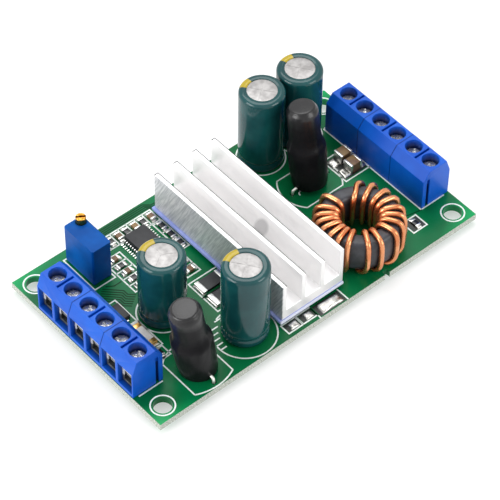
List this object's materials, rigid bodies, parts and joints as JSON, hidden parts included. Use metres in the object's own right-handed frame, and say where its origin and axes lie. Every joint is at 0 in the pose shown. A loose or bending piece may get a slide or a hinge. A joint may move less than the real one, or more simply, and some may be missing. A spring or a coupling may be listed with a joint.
{
  "type": "buck-boost converter module",
  "caption": "Step-up step-down power converter board with screw terminals, a finned heatsink, a toroid choke, tall capacitors and a trimmer.",
  "frame": {"origin": "centre of the four board holes, on the underside of the board", "axes": "+X along the board from the left terminals to the right ones, +Y to the trimmer's long edge, +Z out of the component side"},
  "size_m": [0.086, 0.048, 0.024],
  "materials": {
    "laminate": "green solder mask over glass laminate",
    "solder": "bright tin solder",
    "housing": "blue moulded plastic",
    "screw_steel": "zinc plated",
    "clamp_metal": "tinned sheet metal",
    "aluminium": "plain extruded",
    "pad": "soft filled rubber",
    "black_moulding": "black moulding compound",
    "core": "pressed magnetic powder, coated",
    "copper": "enamelled copper wire",
    "can_sleeve": "dark shrunk sleeve over a metal can",
    "choke_sleeve": "black shrunk sleeve",
    "trimmer_blue": "blue moulded plastic",
    "brass": "turned brass",
    "ceramic_brown": "fired ceramic with plated ends",
    "ceramic_white": "white ceramic with gilt ends",
    "resistor": "black glazed ceramic"
  },
  "bodies": {
    "board": {"capacitor_back_inner": "can_sleeve", "capacitor_back_outer": "can_sleeve", "capacitor_front": "can_sleeve", "capacitor_left": "can_sleeve", "ceramic_capacitors": "ceramic_brown", "chip_capacitors": "ceramic_brown", "chip_resistors": "resistor", "circuit_board": "laminate", "controller_chip": "black_moulding", "diode": "black_moulding", "fuse": "ceramic_white", "heatsink": "aluminium", "power_transistors": "black_moulding", "rod_choke_back": "choke_sleeve", "rod_choke_front": "choke_sleeve", "shunt_resistors": "resistor", "solder_joints": "solder", "terminal_contacts_left": "clamp_metal", "terminal_contacts_right": "clamp_metal", "terminal_housing_left_1": "housing", "terminal_housing_left_2": "housing", "terminal_housing_left_3": "housing", "terminal_housing_right_1": "housing", "terminal_housing_right_2": "housing", "terminal_housing_right_3": "housing", "thermal_pad": "pad", "toroid_core": "core", "toroid_winding": "copper", "trimmer_body": "trimmer_blue"},
    "clamp_screw_left_1": {"clamp_screw_left_1": "screw_steel"},
    "clamp_cage_left_1": {"clamp_cage_left_1": "clamp_metal"},
    "clamp_screw_left_2": {"clamp_screw_left_2": "screw_steel"},
    "clamp_cage_left_2": {"clamp_cage_left_2": "clamp_metal"},
    "clamp_screw_left_3": {"clamp_screw_left_3": "screw_steel"},
    "clamp_cage_left_3": {"clamp_cage_left_3": "clamp_metal"},
    "clamp_screw_left_4": {"clamp_screw_left_4": "screw_steel"},
    "clamp_cage_left_4": {"clamp_cage_left_4": "clamp_metal"},
    "clamp_screw_left_5": {"clamp_screw_left_5": "screw_steel"},
    "clamp_cage_left_5": {"clamp_cage_left_5": "clamp_metal"},
    "clamp_screw_left_6": {"clamp_screw_left_6": "screw_steel"},
    "clamp_cage_left_6": {"clamp_cage_left_6": "clamp_metal"},
    "clamp_screw_right_1": {"clamp_screw_right_1": "screw_steel"},
    "clamp_cage_right_1": {"clamp_cage_right_1": "clamp_metal"},
    "clamp_screw_right_2": {"clamp_screw_right_2": "screw_steel"},
    "clamp_cage_right_2": {"clamp_cage_right_2": "clamp_metal"},
    "clamp_screw_right_3": {"clamp_screw_right_3": "screw_steel"},
    "clamp_cage_right_3": {"clamp_cage_right_3": "clamp_metal"},
    "clamp_screw_right_4": {"clamp_screw_right_4": "screw_steel"},
    "clamp_cage_right_4": {"clamp_cage_right_4": "clamp_metal"},
    "clamp_screw_right_5": {"clamp_screw_right_5": "screw_steel"},
    "clamp_cage_right_5": {"clamp_cage_right_5": "clamp_metal"},
    "clamp_screw_right_6": {"clamp_screw_right_6": "screw_steel"},
    "clamp_cage_right_6": {"clamp_cage_right_6": "clamp_metal"},
    "trimmer_screw": {"trimmer_screw": "brass"}
  },
  "joints": [
    {"name": "screw_turn_left_1", "type": "hinge", "parent": "board", "child": "clamp_screw_left_1", "pos_m": [-0.0394, -0.0129, 0.0086], "axis": [0, 0, -1], "range_deg": [0, 1260]},
    {"name": "cage_lift_left_1", "type": "slide", "parent": "board", "child": "clamp_cage_left_1", "axis": [0, 0, 1], "range_m": [0, 0.00158]},
    {"name": "screw_turn_left_2", "type": "hinge", "parent": "board", "child": "clamp_screw_left_2", "pos_m": [-0.0394, -0.00782, 0.0086], "axis": [0, 0, -1], "range_deg": [0, 1260]},
    {"name": "cage_lift_left_2", "type": "slide", "parent": "board", "child": "clamp_cage_left_2", "axis": [0, 0, 1], "range_m": [0, 0.00158]},
    {"name": "screw_turn_left_3", "type": "hinge", "parent": "board", "child": "clamp_screw_left_3", "pos_m": [-0.0394, -0.00274, 0.0086], "axis": [0, 0, -1], "range_deg": [0, 1260]},
    {"name": "cage_lift_left_3", "type": "slide", "parent": "board", "child": "clamp_cage_left_3", "axis": [0, 0, 1], "range_m": [0, 0.00158]},
    {"name": "screw_turn_left_4", "type": "hinge", "parent": "board", "child": "clamp_screw_left_4", "pos_m": [-0.0394, 0.00234, 0.0086], "axis": [0, 0, -1], "range_deg": [0, 1260]},
    {"name": "cage_lift_left_4", "type": "slide", "parent": "board", "child": "clamp_cage_left_4", "axis": [0, 0, 1], "range_m": [0, 0.00158]},
    {"name": "screw_turn_left_5", "type": "hinge", "parent": "board", "child": "clamp_screw_left_5", "pos_m": [-0.0394, 0.00742, 0.0086], "axis": [0, 0, -1], "range_deg": [0, 1260]},
    {"name": "cage_lift_left_5", "type": "slide", "parent": "board", "child": "clamp_cage_left_5", "axis": [0, 0, 1], "range_m": [0, 0.00158]},
    {"name": "screw_turn_left_6", "type": "hinge", "parent": "board", "child": "clamp_screw_left_6", "pos_m": [-0.0394, 0.0125, 0.0086], "axis": [0, 0, -1], "range_deg": [0, 1260]},
    {"name": "cage_lift_left_6", "type": "slide", "parent": "board", "child": "clamp_cage_left_6", "axis": [0, 0, 1], "range_m": [0, 0.00158]},
    {"name": "screw_turn_right_1", "type": "hinge", "parent": "board", "child": "clamp_screw_right_1", "pos_m": [0.0394, -0.0129, 0.0086], "axis": [0, 0, -1], "range_deg": [0, 1260]},
    {"name": "cage_lift_right_1", "type": "slide", "parent": "board", "child": "clamp_cage_right_1", "axis": [0, 0, 1], "range_m": [0, 0.00158]},
    {"name": "screw_turn_right_2", "type": "hinge", "parent": "board", "child": "clamp_screw_right_2", "pos_m": [0.0394, -0.00782, 0.0086], "axis": [0, 0, -1], "range_deg": [0, 1260]},
    {"name": "cage_lift_right_2", "type": "slide", "parent": "board", "child": "clamp_cage_right_2", "axis": [0, 0, 1], "range_m": [0, 0.00158]},
    {"name": "screw_turn_right_3", "type": "hinge", "parent": "board", "child": "clamp_screw_right_3", "pos_m": [0.0394, -0.00274, 0.0086], "axis": [0, 0, -1], "range_deg": [0, 1260]},
    {"name": "cage_lift_right_3", "type": "slide", "parent": "board", "child": "clamp_cage_right_3", "axis": [0, 0, 1], "range_m": [0, 0.00158]},
    {"name": "screw_turn_right_4", "type": "hinge", "parent": "board", "child": "clamp_screw_right_4", "pos_m": [0.0394, 0.00234, 0.0086], "axis": [0, 0, -1], "range_deg": [0, 1260]},
    {"name": "cage_lift_right_4", "type": "slide", "parent": "board", "child": "clamp_cage_right_4", "axis": [0, 0, 1], "range_m": [0, 0.00158]},
    {"name": "screw_turn_right_5", "type": "hinge", "parent": "board", "child": "clamp_screw_right_5", "pos_m": [0.0394, 0.00742, 0.0086], "axis": [0, 0, -1], "range_deg": [0, 1260]},
    {"name": "cage_lift_right_5", "type": "slide", "parent": "board", "child": "clamp_cage_right_5", "axis": [0, 0, 1], "range_m": [0, 0.00158]},
    {"name": "screw_turn_right_6", "type": "hinge", "parent": "board", "child": "clamp_screw_right_6", "pos_m": [0.0394, 0.0125, 0.0086], "axis": [0, 0, -1], "range_deg": [0, 1260]},
    {"name": "cage_lift_right_6", "type": "slide", "parent": "board", "child": "clamp_cage_right_6", "axis": [0, 0, 1], "range_m": [0, 0.00158]},
    {"name": "trimmer_turn", "type": "hinge", "parent": "board", "child": "trimmer_screw", "pos_m": [-0.02722, 0.02039, 0.0125], "axis": [0, 0, 1], "continuous": true}
  ],
  "couplings": [
    {"joint": "screw_turn_left_1", "follows": "cage_lift_left_1", "rad_per_m": 13963},
    {"joint": "screw_turn_left_2", "follows": "cage_lift_left_2", "rad_per_m": 13963},
    {"joint": "screw_turn_left_3", "follows": "cage_lift_left_3", "rad_per_m": 13963},
    {"joint": "screw_turn_left_4", "follows": "cage_lift_left_4", "rad_per_m": 13963},
    {"joint": "screw_turn_left_5", "follows": "cage_lift_left_5", "rad_per_m": 13963},
    {"joint": "screw_turn_left_6", "follows": "cage_lift_left_6", "rad_per_m": 13963},
    {"joint": "screw_turn_right_1", "follows": "cage_lift_right_1", "rad_per_m": 13963},
    {"joint": "screw_turn_right_2", "follows": "cage_lift_right_2", "rad_per_m": 13963},
    {"joint": "screw_turn_right_3", "follows": "cage_lift_right_3", "rad_per_m": 13963},
    {"joint": "screw_turn_right_4", "follows": "cage_lift_right_4", "rad_per_m": 13963},
    {"joint": "screw_turn_right_5", "follows": "cage_lift_right_5", "rad_per_m": 13963},
    {"joint": "screw_turn_right_6", "follows": "cage_lift_right_6", "rad_per_m": 13963}
  ]
}
